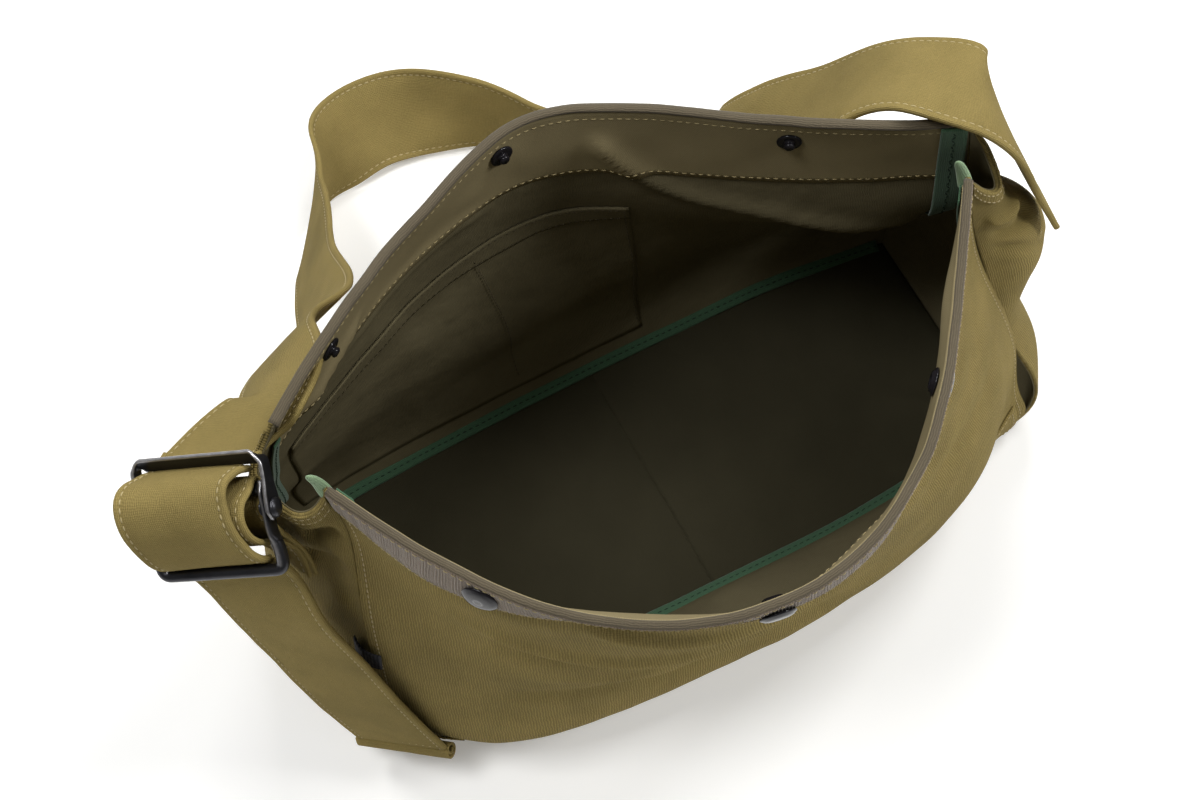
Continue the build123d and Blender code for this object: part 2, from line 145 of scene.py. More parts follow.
def circle(sides, start=0.0):
    """Cosines and sines of evenly spaced angles."""
    angles = [2 * math.pi * (k + start) / sides for k in range(sides)]
    return [(math.cos(t), math.sin(t)) for t in angles]


def squared(x, power):
    """A cosine or sine pushed outward, which turns a circle into a rounded square."""
    return math.copysign(abs(x) ** power, x)


def grid_normals(grid):
    """Unit normals of a grid whose rows rise and whose columns run along a wall, pointing out of the bag."""
    along = np.gradient(grid, axis=1)
    up = np.gradient(grid, axis=0)
    return unit(np.cross(along, up))


class Fold:
    """A ridge or valley in a wall, along a line given as (share of the wall's length, height)."""

    def __init__(self, line, depth, width, sharp=2.0, fade=0.25):
        self.line, self.depth, self.width, self.sharp, self.fade = line, depth, width, sharp, fade

    def lift(self, s, z, length):
        line = even([(u * length, h) for u, h in self.line], 40)
        nearest, place = np.full(s.shape, 1e9), np.zeros(s.shape)
        for i, (a, b) in enumerate(zip(line[:-1], line[1:])):
            d = b - a
            t = np.clip(((s - a[0]) * d[0] + (z - a[1]) * d[1]) / (d @ d), 0, 1)
            far = np.hypot(s - a[0] - t * d[0], z - a[1] - t * d[1])
            closer = far < nearest
            nearest = np.where(closer, far, nearest)
            place = np.where(closer, (i + t) / (len(line) - 1), place)
        ends = smooth(place / self.fade) * smooth((1 - place) / self.fade) if self.fade else 1.0
        return self.depth * np.exp(-(nearest / self.width) ** self.sharp) * ends


def ripple(s, z, size, seed):
    """Soft uneven waves, in the range -1 to 1."""
    flat = np.stack([s.ravel() / size, z.ravel() / size], 1)
    return np.array([noise.noise(Vector((a, b, seed))) for a, b in flat]).reshape(s.shape)


class Wall:
    """One wall of the bag: a smooth surface through its plan outlines, with its folds."""

    def __init__(self, rows, columns, levels, folds=(), waves=1.0, seed=1.0, lean=None, hem=None):
        heights = sorted(rows)
        lines = np.array([even(rows[z], columns) for z in heights])
        self.z = np.linspace(0, 1, levels) * RIM_Z
        self.hem = hem
        flat = cubic(heights, lines.reshape(len(heights), -1), self.z).reshape(levels, columns, 2)
        tall = np.repeat(self.z[:, None], columns, 1)
        if hem is not None:
            top = hem(np.linspace(0, 1, columns))[None, :]
            tall = tall * top / RIM_Z
            for j in range(columns):
                flat[:, j] = cubic(heights, lines[:, j], tall[:, j])
        grid = np.dstack([flat, tall])
        self.share = np.repeat(np.linspace(0, 1, columns)[None, :], levels, 0)
        self.length = float(np.linalg.norm(np.diff(grid[levels // 2], axis=0), axis=1).sum())
        s = self.share * self.length
        normals = grid_normals(grid)
        edge = smooth(np.minimum(self.share, 1 - self.share) / 0.07)
        foot = smooth(tall / 20)
        lift = sum((fold.lift(s, tall, self.length) for fold in folds), np.zeros(s.shape))
        lift = lift + waves * (1.1 * ripple(s, tall, 46, seed) + 0.45 * ripple(s, tall, 17, seed + 9))
        lift = lift * edge * foot
        if lean is not None:
            lift = lift + lean(self.share, tall)
        self.grid = grid + normals * lift[..., None]
        self.normals = grid_normals(self.grid)
        self.tall = tall

    def skin(self, depth):
        """The wall's surface, moved into the bag by a depth."""
        return self.grid - self.normals * depth

    def spot(self, u, z, depth=0.0):
        """A point on the wall and the direction out of it, at a share of the length and a height."""
        column = u * (self.grid.shape[1] - 1)
        j = min(int(column), self.grid.shape[1] - 2)
        f = column - j
        heights = self.tall[:, j] * (1 - f) + self.tall[:, j + 1] * f
        point = self.grid[:, j] * (1 - f) + self.grid[:, j + 1] * f
        normal = self.normals[:, j] * (1 - f) + self.normals[:, j + 1] * f
        p = np.array([np.interp(z, heights, point[:, k]) for k in range(3)])
        n = unit([np.interp(z, heights, normal[:, k]) for k in range(3)])
        return p - n * depth, n

    def line(self, places, depth, count):
        """Points and directions along a line on the wall through (share, height) places."""
        path = even([(u * self.length, z) for u, z in places], count)
        found = [self.spot(s / self.length, z, depth) for s, z in path]
        return np.array([p for p, _ in found]), np.array([n for _, n in found])


# ---- meshes
def make(name, verts, faces, material, uvs=None, body="root", nodes=(), slot=None):
    """A smooth mesh piece, in the model's frame, from millimetre points. It rides on a body."""
    mesh = bpy.data.meshes.new(name)
    points = [tuple(v) for v in np.asarray(verts, float) * MM]
    mesh.from_pydata(points, [], [tuple(map(int, f)) for f in faces])
    if uvs is not None:
        layer = mesh.uv_layers.new(name="cloth")
        loops = np.zeros(len(mesh.loops), np.int32)
        mesh.loops.foreach_get("vertex_index", loops)
        layer.data.foreach_set("uv", (np.asarray(uvs, float) * MM)[loops].astype(np.float32).ravel())
    mesh.update()
    mesh.polygons.foreach_set("use_smooth", np.ones(len(mesh.polygons), bool))
    obj = bpy.data.objects.new(name, mesh)
    bpy.context.scene.collection.objects.link(obj)
    mesh.materials.append(material)
    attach(obj, body)
    if nodes:
        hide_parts(*nodes)
    return obj


def grid_faces(rows, columns, start=0, wrap=False, flip=False):
    """Quads of a grid of points."""
    faces = []
    for i in range(rows - 1):
        for j in range(columns if wrap else columns - 1):
            k = (j + 1) % columns
            quad = [start + i * columns + j, start + i * columns + k,
                    start + (i + 1) * columns + k, start + (i + 1) * columns + j]
            faces.append(quad[::-1] if flip else quad)
    return faces


def closed_faces(rows, sides, start=0):
    """Faces of a tube with both ends closed."""
    last = start + (rows - 1) * sides
    ends = [list(range(start, start + sides))[::-1], list(range(last, last + sides))]
    return grid_faces(rows, sides, start, wrap=True) + ends


def slab(name, outer, inner, material, **options):
    """A closed sheet of cloth between two grids of the same size."""
    rows, columns = outer.shape[:2]
    count = rows * columns
    faces = grid_faces(rows, columns) + grid_faces(rows, columns, count, flip=True)
    for i in range(rows - 1):
        for j, turn in ((0, True), (columns - 1, False)):
            a, b = i * columns + j, (i + 1) * columns + j
            quad = [a, a + count, b + count, b]
            faces.append(quad[::-1] if turn else quad)
    for j in range(columns - 1):
        for i, turn in ((0, False), (rows - 1, True)):
            a, b = i * columns + j, i * columns + j + 1
            quad = [a, a + count, b + count, b]
            faces.append(quad[::-1] if turn else quad)
    uv = np.dstack(np.meshgrid(run_of(outer[rows // 2]), run_of(outer[:, columns // 2]))).reshape(-1, 2)
    verts = np.concatenate([outer.reshape(-1, 3), inner.reshape(-1, 3)])
    return make(name, verts, faces, material, uvs=np.concatenate([uv, uv]), **options)


def tube(name, rings, material, **options):
    """A closed skin over rings of points."""
    rings = np.asarray(rings, float)
    return make(name, rings.reshape(-1, 3), closed_faces(*rings.shape[:2]), material, **options)


def turned(name, profiles, material, sides=40, **options):
    """Round pieces turned from (radius, height) profiles, each at a point and along a direction."""
    verts, faces = [], []
    for point, axis, profile in profiles:
        axis = unit(axis)
        side = unit(np.cross(axis, (0.3, 0.2, 1.0)))
        other = np.cross(axis, side)
        start = len(verts)
        for r, h in profile:
            verts += [point + axis * h + (side * c + other * s) * r for c, s in circle(sides)]
        faces += closed_faces(len(profile), sides, start)
    return make(name, verts, faces, material, **options)


def stitches(name, lines, material, length=2.5, gap=1.1, radius=0.3, sink=0.1, **options):
    """Rows of single stitches. Each line is its points and the directions out of the cloth."""
    sides, rings = 6, ((0.0, 0.35), (0.18, 0.85), (0.5, 1.0), (0.82, 0.85), (1.0, 0.35))
    section = circle(sides)
    verts, faces = [], []
    for points, normals in lines:
        points, normals = np.asarray(points, float), unit(normals)
        run = run_of(points)
        for start in np.arange(gap / 2, run[-1] - length, length + gap):
            ends = [np.array([np.interp(start + f * length, run, points[:, k]) for k in range(3)])
                    for f in (0, 1)]
            out = unit([np.interp(start + length / 2, run, normals[:, k]) for k in range(3)])
            along = unit(ends[1] - ends[0])
            side = unit(np.cross(out, along))
            first = len(verts)
            for f, share in rings:
                arch = 4 * f * (1 - f) * radius * 0.9
                centre = ends[0] * (1 - f) + ends[1] * f + out * (arch - sink)
                verts += [centre + (side * c * 1.15 + out * s * 0.8) * radius * share for c, s in section]
            faces += closed_faces(len(rings), sides, first)
    return make(name, verts, faces, material, **options)


# ---- materials
def shade_of(colour, share):
    return tuple(min(1.0, c * share) for c in colour)


class Graph:
    """One material's nodes and its shader."""

    def __init__(self, name):
        self.material = bpy.data.materials.new(name)
        self.material.use_nodes = True
        self.tree = self.material.node_tree
        self.shader = self.tree.nodes["Principled BSDF"]

    def settings(self, **values):
        """Numbers and colours on the shader's own sockets, named with _ for a space."""
        for key, value in values.items():
            self.shader.inputs[key.replace("_", " ")].default_value = value

    def link(self, a, b):
        self.tree.links.new(a, b)

    def add(self, kind, **settings):
        """A node with its inputs and properties set by name."""
        node = self.tree.nodes.new(kind)
        for key, value in settings.items():
            if key in node.inputs:
                node.inputs[key].default_value = value
            else:
                setattr(node, key, value)
        return node

    def math(self, kind, a, b=None):
        node = self.add("ShaderNodeMath", operation=kind)
        for i, value in enumerate((a, b)):
            if isinstance(value, (int, float)):
                node.inputs[i].default_value = value
            elif value is not None:
                self.link(value, node.inputs[i])
        return node.outputs[0]

    def plus(self, a, b):
        return self.math("ADD", a, b)

    def times(self, a, b):
        return self.math("MULTIPLY", a, b)

    def noise(self, source, scale, detail=3.0, rough=0.55):
        node = self.add("ShaderNodeTexNoise", Scale=scale, Detail=detail, Roughness=rough)
        self.link(source, node.inputs["Vector"])
        return node.outputs["Fac"]

    def ramp(self, source, stops):
        """Colours between stops, each given as (place, colour)."""
        node = self.add("ShaderNodeValToRGB")
        while len(node.color_ramp.elements) < len(stops):
            node.color_ramp.elements.new(0.5)
        for element, (place, colour) in zip(node.color_ramp.elements, stops):
            element.position = place
            element.color = (*colour, 1)
        self.link(source, node.inputs["Fac"])
        return node.outputs["Color"]

    def mask(self, source, low, high):
        return self.ramp(source, [(low, (0, 0, 0)), (high, (1, 1, 1))])

    def mix(self, share, base, colour):
        """A base colour with a share of another colour over it."""
        node = self.add("ShaderNodeMix", data_type="RGBA", blend_type="MIX")
        self.link(share, node.inputs[0])
        self.link(base, node.inputs[6])
        node.inputs[7].default_value = (*colour, 1)
        return node.outputs[2]

    def bump(self, height, strength, distance):
        node = self.add("ShaderNodeBump", Strength=strength, Distance=distance)
        self.link(height, node.inputs["Height"])
        return node


def cloth(name, colour, warp=1.15, weft=0.8, depth=0.35, contrast=0.16, mottle=0.14, rough=0.95, sheen=0.0,
          skew=0.0, worn=0.0, crumple=0.0):
    """Woven cloth. Warp and weft are the thread spacings in millimetres along the cloth's own directions."""
    g = Graph(name)
    place = g.add("ShaderNodeUVMap", uv_map="cloth").outputs["UV"]
    split = g.add("ShaderNodeSeparateXYZ")
    g.link(place, split.inputs[0])
    across, along = split.outputs["X"], split.outputs["Y"]
    wobble = g.times(g.noise(place, 260, 2.0), 0.0016)
    slanted = g.plus(across, g.times(along, skew))
    turn = 2 * math.pi
    warps = g.math("SINE", g.times(g.plus(slanted, wobble), turn / (warp * MM)))
    wefts = g.math("SINE", g.times(g.plus(along, wobble), turn / (weft * MM)))
    weave = g.plus(g.plus(g.times(warps, 0.34), g.times(wefts, 0.16)), 0.5)
    solid = g.add("ShaderNodeTexCoord").outputs["Object"]
    slub = g.noise(place, 900, 2.0, 0.6)
    tone = g.plus(g.times(g.noise(solid, 22, 4.0, 0.6), mottle * 2), g.times(slub, mottle))
    tone = g.plus(tone, g.times(weave, contrast))
    middle = mottle * 1.5 + contrast * 0.5
    tone = g.plus(tone, 0.5 - middle)
    span = 0.5 + middle
    base = g.ramp(tone, [(0.0, shade_of(colour, 1 - span)), (1.0, shade_of(colour, 1 + span))])
    if worn:
        edge = g.mask(g.add("ShaderNodeNewGeometry").outputs["Pointiness"], 0.5, 0.56)
        base = g.mix(g.times(edge, worn), base, shade_of(colour, 1.7))
    g.link(base, g.shader.inputs["Base Color"])
    bump = g.bump(g.plus(weave, g.times(slub, 0.5)), depth, 0.0005)
    if crumple:
        soft = g.bump(g.noise(solid, 34, 3.0, 0.5), crumple, 0.004)
        g.link(soft.outputs[0], bump.inputs["Normal"])
    g.link(bump.outputs[0], g.shader.inputs["Normal"])
    g.settings(Roughness=rough, Sheen_Weight=sheen, Sheen_Roughness=0.5, Specular_IOR_Level=0.08)
    return g.material


def metal(name, colour, rough, worn_and_highlight_colour, worn_from=0.52, scratch=0.12, metallic=0.85, specular=0.5):
    """Finished metal with the finish worn off its edges. Where a piece carries a point attribute for it, that place
    is also painted lighter, partly as worn finish and partly as painted highlight.
    """
    g = Graph(name)
    solid = g.add("ShaderNodeTexCoord").outputs["Object"]
    grain = g.noise(solid, 420, 5.0, 0.65)
    pointy = g.add("ShaderNodeNewGeometry").outputs["Pointiness"]
    mask = g.mask(g.plus(pointy, g.times(g.plus(grain, -0.5), 0.05)), worn_from, worn_from + 0.07)
    # The point attribute paints lighter finish on chosen sides of a bar. This is partly worn finish and partly
    # painted highlight.
    rubbed_and_highlit = g.add("ShaderNodeAttribute", attribute_name="wear_and_highlight").outputs["Fac"]
    rubbed_and_highlit = g.times(rubbed_and_highlit, g.plus(grain, 0.45))
    tone = g.ramp(g.noise(solid, 60, 3.0), [(0.3, shade_of(colour, 0.7)), (0.7, shade_of(colour, 1.4))])
    g.link(g.mix(g.math("MAXIMUM", mask, rubbed_and_highlit), tone, worn_and_highlight_colour), g.shader.inputs["Base Color"])
    g.link(g.plus(g.times(grain, scratch), rough - scratch / 2), g.shader.inputs["Roughness"])
    g.link(g.bump(grain, 0.12, 0.0003).outputs[0], g.shader.inputs["Normal"])
    g.settings(Metallic=metallic, Specular_IOR_Level=specular)
    return g.material


CANVAS_COLOUR = (0.230, 0.176, 0.062)
LINING_COLOUR = (0.142, 0.121, 0.068)
# The floor of the bag is lined with the same lining cloth. It is painted about three times darker here, as painted
# shade for the dim inside of the bag.
SHADED_FLOOR_LINING_COLOUR = (0.046, 0.041, 0.024)
FACING_COLOUR = (0.270, 0.222, 0.120)
GROSGRAIN_COLOUR = (0.185, 0.143, 0.102)
canvas = cloth("canvas", CANVAS_COLOUR, warp=1.25, weft=0.7, depth=0.8, contrast=0.36, mottle=0.2, worn=0.10,
               crumple=0.5)
strap_canvas = cloth("strap_canvas", CANVAS_COLOUR, warp=0.8, weft=0.8, depth=0.5, contrast=0.2, mottle=0.2,
                     worn=0.16, crumple=0.3)
lining_cloth = cloth("lining", LINING_COLOUR, warp=0.7, weft=0.7, depth=0.3, contrast=0.16, crumple=0.6)
shaded_floor_lining = cloth("bottom_lining", SHADED_FLOOR_LINING_COLOUR, warp=0.7, weft=0.7, depth=0.3, contrast=0.16, crumple=0.6)
facing_cloth = cloth("facing", FACING_COLOUR, warp=0.9, weft=0.8, skew=0.6, depth=0.25, contrast=0.14)
grosgrain = cloth("grosgrain", GROSGRAIN_COLOUR, warp=1.3, weft=0.5, depth=0.6, contrast=0.24, sheen=0.3,
                  rough=0.7)
rim_tape = cloth("rim_binding", (0.098, 0.080, 0.052), warp=0.9, weft=0.5, depth=0.4, contrast=0.3,
                 sheen=0.15, rough=0.7)
green_tape = cloth("green_tape", (0.060, 0.125, 0.070), warp=0.9, weft=0.9, depth=0.3, sheen=0.2, rough=0.75)
pale_green = cloth("pale_green_tape", (0.230, 0.340, 0.190), warp=0.9, weft=0.9, depth=0.3, sheen=0.2,
                   rough=0.75)
webbing = cloth("webbing", (0.05, 0.05, 0.055), warp=1.6, weft=0.6, depth=0.8, contrast=0.5, rough=0.6)
thread = cloth("thread", (0.42, 0.34, 0.17), warp=0.3, weft=0.3, contrast=0.1, sheen=0.2, rough=0.6)
dark_thread = cloth("dark_thread", (0.09, 0.075, 0.045), warp=0.3, weft=0.3, contrast=0.1, rough=0.7)
tape_thread = cloth("tape_thread", (0.03, 0.05, 0.035), warp=0.3, weft=0.3, contrast=0.1, rough=0.7)
snap_metal = metal("snap_metal", (0.010, 0.009, 0.011), 0.13, (0.30, 0.29, 0.31), 0.85, 0.05,
                   metallic=0.0, specular=0.28)
# The buckle's light colour serves two marks: its worn finish, and the painted highlights on the lever and the
# frame.
buckle_metal = metal("buckle_metal", (0.040, 0.040, 0.045), 0.34, (0.50, 0.49, 0.50), 0.66, 0.14)

# ---- the four walls
COLUMNS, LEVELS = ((150, 110))


def gusset_hem(u):
    """The height of a gusset's top edge: it dips between its two corners."""
    return RIM_Z - 2 - 26 * np.sin(math.pi * np.clip(u, 0, 1)) ** 0.7


front_folds = [
    Fold([(0.24, 214), (0.34, 200), (0.46, 186), (0.58, 168)], 3.6, 5),
    Fold([(0.05, 190), (0.15, 204), (0.27, 212), (0.36, 214)], -3.4, 7),
    Fold([(0.08, 176), (0.20, 168), (0.36, 152), (0.56, 126)], 3.4, 6),
    Fold([(0.10, 160), (0.24, 150), (0.40, 132), (0.52, 112)], -3.2, 8),
    Fold([(0.16, 130), (0.32, 118), (0.48, 98), (0.62, 78)], 2.8, 7),
    Fold([(0.12, 104), (0.28, 92), (0.44, 70)], -2.4, 8),
    Fold([(0.54, 196), (0.66, 176), (0.78, 150)], -2.0, 7),
    Fold([(0.60, 206), (0.75, 186), (0.88, 160)], 2.0, 8),
    Fold([(0.66, 150), (0.80, 136), (0.93, 118)], -2.2, 9),
]
rear_folds = [
    Fold([(0.02, 150), (0.12, 158), (0.24, 172), (0.36, 186), (0.45, 226)], -4.5, 5, sharp=1.3, fade=0.08),
    Fold([(0.52, 150), (0.66, 120), (0.80, 100)], -2.5, 14),
    Fold([(0.80, 215), (0.87, 203), (0.94, 192)], -3.0, 4, sharp=1.3),
    Fold([(0.55, 190), (0.70, 192), (0.86, 186)], -2.5, 6),
    Fold([(0.40, 60), (0.55, 44), (0.75, 36)], 2.0, 14),
]
left_folds = [
    Fold([(0.95, 200), (0.78, 188), (0.62, 176)], -5.0, 6),
    Fold([(0.90, 176), (0.74, 160), (0.55, 150)], -5.0, 7),
    Fold([(0.92, 150), (0.80, 128), (0.70, 104)], 3.0, 8),
    Fold([(0.20, 190), (0.35, 160), (0.50, 120)], 2.5, 12),
]
right_folds = [
    Fold([(0.08, 196), (0.30, 190), (0.55, 188)], 3.5, 4, sharp=1.4),
    Fold([(0.06, 182), (0.28, 176), (0.50, 178)], -3.5, 5),
    Fold([(0.03, 170), (0.20, 160), (0.36, 132)], -3.0, 5),
    Fold([(0.30, 120), (0.52, 100), (0.72, 94)], 2.5, 10),
]


def front_lean(u, z):
    """How far the front wall's upper edge stands away from its plain surface, from lower edge to rim."""
    flare = 3.5 * np.exp(-((u - 0.13) / 0.09) ** 2) - 4.0 * np.exp(-((u - 0.33) / 0.09) ** 2)
    flare = flare + 2.5 * np.exp(-((u - 0.56) / 0.12) ** 2) - 3.5 * np.exp(-((u - 0.87) / 0.08) ** 2)
    return flare * smooth((z - 190) / 35) * smooth((RIM_Z - z) / 14)


front = Wall(FRONT, COLUMNS, LEVELS, front_folds, 1.0, 3.1, lean=front_lean)
right = Wall(RIGHT, COLUMNS // 2, LEVELS, right_folds, 0.8, 5.7, hem=gusset_hem)
rear = Wall(REAR, COLUMNS, LEVELS, rear_folds, 1.0, 8.3)
left = Wall(LEFT, COLUMNS // 2, LEVELS, left_folds, 0.8, 11.9, hem=gusset_hem)

for name, wall, node, lining_node in (
        ("front", front, "front_panel", "front_lining"), ("right", right, "right_gusset", "right_lining"),
        ("rear", rear, "rear_panel", "rear_lining"), ("left", left, "left_gusset", "left_lining")):
    slab(f"{name}_shell", wall.skin(0), wall.skin(CANVAS), canvas, nodes=(node,), slot="canvas")
    slab(f"{name}_inner", wall.skin(CANVAS + 0.1), wall.skin(CANVAS + LINING), lining_cloth,
         nodes=(lining_node,), slot="lining")
INNER = CANVAS + LINING


def strip(wall, name, u0, u1, z0, z1, near, far, material, columns=None, rows=8, edge=None, **options):
    """A piece of cloth lying on a wall between two shares of its length and two heights."""
    columns = columns or max(12, int((u1 - u0) * wall.length / 2.5))
    layers = [np.zeros((rows, columns, 3)), np.zeros((rows, columns, 3))]
    for j, u in enumerate(np.linspace(u0, u1, columns)):
        for i, z in enumerate(np.linspace(z0, z1, rows)):
            p, n = wall.spot(u, z)
            push = edge(u, z) if edge else 0.0
            layers[0][i, j] = p - n * (near - push)
            layers[1][i, j] = p - n * (far - push)
    return slab(name, layers[0], layers[1], material, **options)


for name, wall in (("front_facing", front), ("rear_facing", rear)):
    strip(wall, name + "_cloth", 0.01, 0.99, FACING_Z, RIM_Z, INNER + 0.1, INNER + FACING, facing_cloth,
          rows=14, nodes=(name,), slot="facing")


def ribs(u, z):
    """The tape's fine upright ribs."""
    return 0.16 * math.sin(2 * math.pi * u * front.length / 1.35)


tape_columns = 1200
strip(front, "front_rim_grosgrain", 0.004, 0.996, RIM_Z - TAPE_W, RIM_Z + 0.6, -0.95, -0.1, grosgrain,
      columns=tape_columns, rows=7, edge=ribs, nodes=("front_rim_tape",), slot="grosgrain")


def edge_roll(wall, name, material, width, height, outer, node, slot, u0=0.003, u1=0.997, count=180):
    """A rounded binding over a wall's top edge, from its outside to its inside."""
    rings = []
    for u in np.linspace(u0, u1, count):
        p, n = wall.spot(u, RIM_Z)
        rings.append([p - n * (outer + width / 2 * (1 - c)) + (0, 0, height * s) for c, s in circle(14)])
    return tube(name, rings, material, uvs=ring_uvs(rings), nodes=(node,), slot=slot)


def ring_uvs(rings):
    """Cloth coordinates of a tube: round it, and along it."""
    rings = np.asarray(rings, float)
    along = run_of(rings.mean(1))
    steps = np.linalg.norm(np.diff(np.concatenate([rings, rings[:, :1]], 1), axis=1), axis=2).mean(0)
    around = np.concatenate([[0], np.cumsum(steps)[:-1]])
    return np.dstack(np.meshgrid(around, along)).reshape(-1, 2)


edge_roll(rear, "rear_rim_roll", rim_tape, 4.6, 1.5, -0.7, "rear_rim_binding", "grosgrain")
edge_roll(front, "front_rim_fold", rim_tape, 3.6, 0.8, -0.7, "front_rim_piping", "grosgrain")

# ---- bottom
CORNER_PULL = 0.10  # share of the bottom's half depth that its two ends are drawn in by


def flat_sheet(name, x0, x1, y0, y1, low, high, material, columns=90, rows=40, sag=0.0, seed=0.0, **options):
    """A nearly flat sheet with soft waves."""
    xs, ys = np.meshgrid(np.linspace(x0, x1, columns), np.linspace(y0, y1, rows))
    ys = ys * (1 - CORNER_PULL * (np.abs(xs) / HALF_LENGTH) ** 6)
    lift = sag * (ripple(xs, ys, 60, seed) + 0.5 * ripple(xs, ys, 22, seed + 4)) + sag
    lift = lift * smooth(np.minimum.reduce([xs - x0, x1 - xs, ys - y0, y1 - ys]) / 10 + 0.3)
    under = np.dstack([xs, ys, np.full(xs.shape, low)])
    upper = np.dstack([xs, ys, high + lift])
    return slab(name, under[::-1], upper[::-1], material, **options)


flat_sheet("bag_bottom", -171, 171, -64.5, 66.5, 0.05, 1.5, canvas, nodes=("bottom_panel",), slot="canvas")
# Both floor lining halves use the darker copy of the lining, which paints the shade on the bag's floor.
flat_sheet("bottom_lining_west", -170, 0.5, -66, 68, 1.7, 2.4, shaded_floor_lining, sag=0.9, seed=2.0,
           nodes=("bottom_lining_left",), slot="lining")
flat_sheet("bottom_lining_east", -0.5, 170.5, -66, 68, 1.75, 2.6, shaded_floor_lining, sag=0.9, seed=6.0,
           nodes=("bottom_lining_right",), slot="lining")


def soft_tube(name, points, width, height, normals, material, sides=14, **options):
    """A flattened roll of cloth along points; width lies along the cloth and height stands out of it."""
    points, normals = np.asarray(points, float), unit(normals)
    along = unit(np.gradient(points, axis=0))
    side = unit(np.cross(normals, along))
    out = np.cross(along, side)
    rings = []
    for p, s, o in zip(points, side, out):
        rings.append([p + s * width / 2 * squared(c, 0.7) + o * height / 2 * squared(n, 0.7)
                      for c, n in circle(sides)])
    return tube(name, rings, material, uvs=ring_uvs(rings), **options)


def bottom_binding(name, wall, u0, u1, node):
    """The taped seam allowance that stands in the corner between a wall and the bottom."""
    found = [wall.spot(u, 6.0, INNER + 3.2) for u in np.linspace(u0, u1, 110)]
    points = np.array([p for p, _ in found])
    wander = np.array([noise.noise(Vector((p[0] / 50, p[1] / 90, 0.5))) for p in points])
    points[:, 2] = 5.0 + 1.1 * wander
    inward = np.array([-n for _, n in found])
    normals = unit(inward * 0.6 + (0, 0, 1.0))
    soft_tube(name, points, 6.6, 1.9, normals, green_tape, nodes=(node,), slot="green_tape")
    stitches(name + "_stitches", [(points + normals * 0.95, normals)], tape_thread, length=2.2, gap=1.4,
             radius=0.26)


bottom_binding("rear_bottom_roll", rear, 0.02, 0.98, "rear_bottom_binding")
bottom_binding("front_bottom_roll", front, 0.02, 0.98, "front_bottom_binding")


# ---- buckle's frame of reference
# X runs along the bars, Y from the lower bar to the upper bar, and the third direction away from the bag.
BUCKLE_AT = np.array([-205.5, -1.5, 208.0])
BAR_DIR = unit(np.array([0.767, -0.503, 0.399]))
OUT_DIR = np.array([-0.603, -0.352, 0.717])
OUT_DIR = unit(OUT_DIR - BAR_DIR * (OUT_DIR @ BAR_DIR))
UP_DIR = np.cross(OUT_DIR, BAR_DIR)
BAR_Y = 24.0
PIVOT = (2.0, 2.0)
CROSS_BAR = (9.0, -1.0)
ROD_R = 2.5


def at(x, y, n):
    """A point given in the buckle's frame, in the bag's frame."""
    return BUCKLE_AT + BAR_DIR * x + UP_DIR * y + OUT_DIR * n


# ---- strap
STITCH_IN = 3.2


def lay(stations, count, loose=0.0):
    """Centres, directions across and directions out of the face of a strap through its stations.
    Over the first loose millimetres the strap may lie askew, as where it is gathered under a bar."""
    centres = np.array([s[0] for s in stations], float)
    across = unit(np.array([s[1] for s in stations], float))
    knots = run_of(centres)
    places = np.linspace(0, knots[-1], count)
    middle, side = cubic(knots, centres, places), cubic(knots, across, places)
    along = unit(np.gradient(middle, axis=0))
    square = smooth(places / loose)[:, None] if loose else 1.0
    side = unit(side - along * (side * along).sum(1)[:, None] * square)
    return middle, side, unit(np.cross(side, along))


def strap_profile(width, thick):
    """Half of a double cloth's section: it is drawn in along the stitch line near each edge."""
    w, h = width / 2, thick / 2
    half = [(0.0, 0.0), (0.2, 0.6), (0.8, 0.94), (STITCH_IN - 0.8, 0.94), (STITCH_IN, 0.7),
            (STITCH_IN + 0.9, 0.98), (w * 0.5, 1.02)]
    left_side = [(-w + a, h * o) for a, o in half]
    return left_side + [(0.0, 1.05 * h)] + [(-a, o) for a, o in left_side[::-1]]


def ribbon(name, rows, material, thick=STRAP_T, crinkle=0.25, seed=1.0, **options):
    """A strap of two layers of cloth, sewn together near both edges."""
    middle, side, out = rows
    upper = strap_profile(STRAP_W, thick)
    ring = upper + [(a, -o) for a, o in upper[-2:0:-1]]
    rings = []
    run = run_of(middle)
    for place, p, s, o in zip(run, middle, side, out):
        wave = [crinkle * noise.noise(Vector((place / 16, a / 20, seed))) for a, _ in ring]
        rings.append([p + s * a + o * (h + w) for (a, h), w in zip(ring, wave)])
    return tube(name, rings, material, uvs=ring_uvs(rings), **options), float(run[-1])


def edge_lines(rows, thick=STRAP_T):
    """The stitch lines near both edges of a strap, on its faces."""
    middle, side, out = rows
    reach = STRAP_W / 2 - STITCH_IN
    return [(middle + side * e * reach + out * f * thick / 2 * 0.72, out * f)
            for f in (1, -1) for e in (1, -1)]


